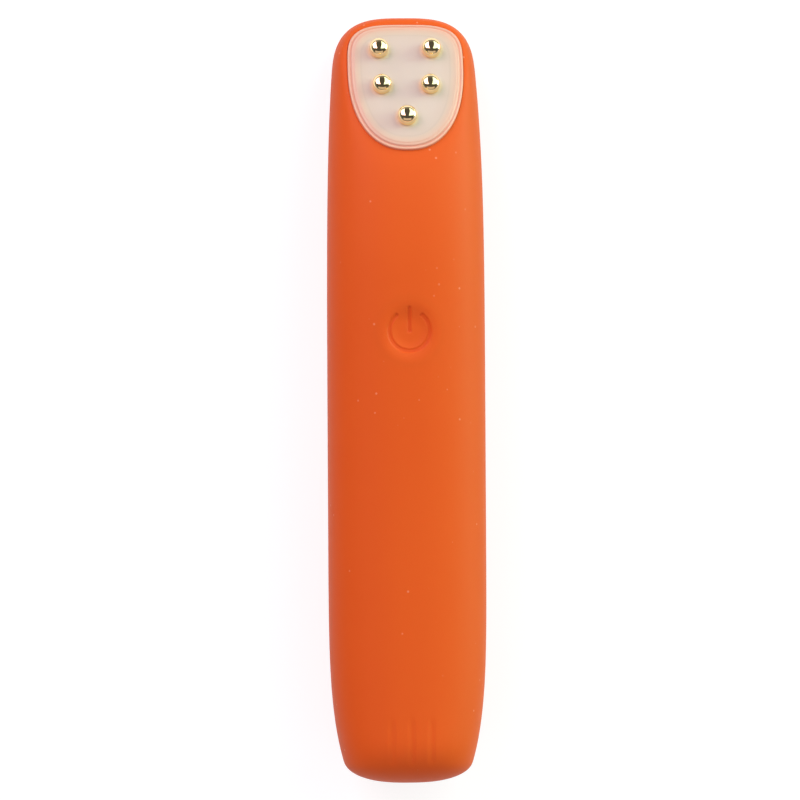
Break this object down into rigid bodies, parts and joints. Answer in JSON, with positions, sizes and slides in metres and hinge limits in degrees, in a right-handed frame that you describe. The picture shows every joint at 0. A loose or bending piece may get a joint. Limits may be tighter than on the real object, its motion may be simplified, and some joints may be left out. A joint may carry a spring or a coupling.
{
  "type": "vibrating eye massager",
  "caption": "Slim hand-held wand with a slanted milky window of small metal massage beads, a recessed power button and an inner vibration motor, in a soft one-piece silicone sleeve.",
  "frame": {"origin": "centre of the footprint, on the flat of the back that the handle lies on", "axes": "+Y along the handle towards the head, +Z out of the button side, +X across to the right as seen with the button towards the viewer and the head up"},
  "size_m": [0.0288, 0.14, 0.024],
  "materials": {
    "orange_silicone": "soft matt silicone with a faint silky sheen",
    "milky_window": "glossy milky translucent moulding",
    "pale_rubber": "matt",
    "gold_plate": "polished gold plating",
    "white_plastic": "moulded, lightly textured",
    "screw_steel": "zinc plated",
    "chip_black": "matt moulded",
    "board_green": "satin solder mask",
    "battery_can": "shrink film over a metal can",
    "grey_foam": "closed-cell foam",
    "nickel_strip": "satin nickel",
    "black_wire": "smooth wire insulation",
    "red_wire": "smooth wire insulation",
    "motor_steel": "satin",
    "dark_rubber": "matt",
    "led_resin": "clear resin over yellow phosphor",
    "ribbon_film": "polyimide film"
  },
  "bodies": {
    "handle": {"silicone_sleeve": "orange_silicone", "head_window": "milky_window", "window_gasket": "pale_rubber", "massage_bead_1": "gold_plate", "massage_bead_2": "gold_plate", "massage_bead_3": "gold_plate", "massage_bead_4": "gold_plate", "massage_bead_5": "gold_plate", "front_shell": "white_plastic", "back_shell": "white_plastic", "shell_screw_1": "screw_steel", "shell_screw_2": "screw_steel", "shell_screw_3": "screw_steel", "shell_screw_4": "screw_steel", "switch_body": "chip_black", "main_board": "board_green", "controller_chip": "chip_black", "charge_chip": "chip_black", "boost_coil": "chip_black", "ribbon_connector": "white_plastic", "board_screw_1": "screw_steel", "board_screw_2": "screw_steel", "board_screw_3": "screw_steel", "board_screw_4": "screw_steel", "battery_cell": "battery_can", "battery_pad": "grey_foam", "battery_tab_front": "nickel_strip", "battery_tab_rear": "nickel_strip", "battery_lead_front": "black_wire", "battery_lead_rear": "red_wire", "motor_can": "motor_steel", "motor_end_cap": "white_plastic", "motor_boot": "dark_rubber", "motor_lead_1": "black_wire", "motor_lead_2": "red_wire", "led_board": "board_green", "head_led_1": "led_resin", "head_led_2": "led_resin", "head_led_3": "led_resin", "head_led_4": "led_resin", "head_ribbon": "ribbon_film", "charge_pin_1": "gold_plate", "charge_pin_2": "gold_plate"},
    "button": {"button_pad": "orange_silicone", "button_actuator": "white_plastic", "switch_plunger": "screw_steel"},
    "rotor": {"motor_shaft": "screw_steel", "eccentric_weight": "motor_steel"}
  },
  "joints": [
    {"name": "button_press", "type": "slide", "parent": "handle", "child": "button", "axis": [0, 0, -1], "range_m": [0, 0.0004], "stiffness_N_per_m": 3000},
    {"name": "motor_spin", "type": "hinge", "parent": "handle", "child": "rotor", "pos_m": [0, 0.041, 0.0101], "axis": [0, 1, 0], "continuous": true}
  ]
}
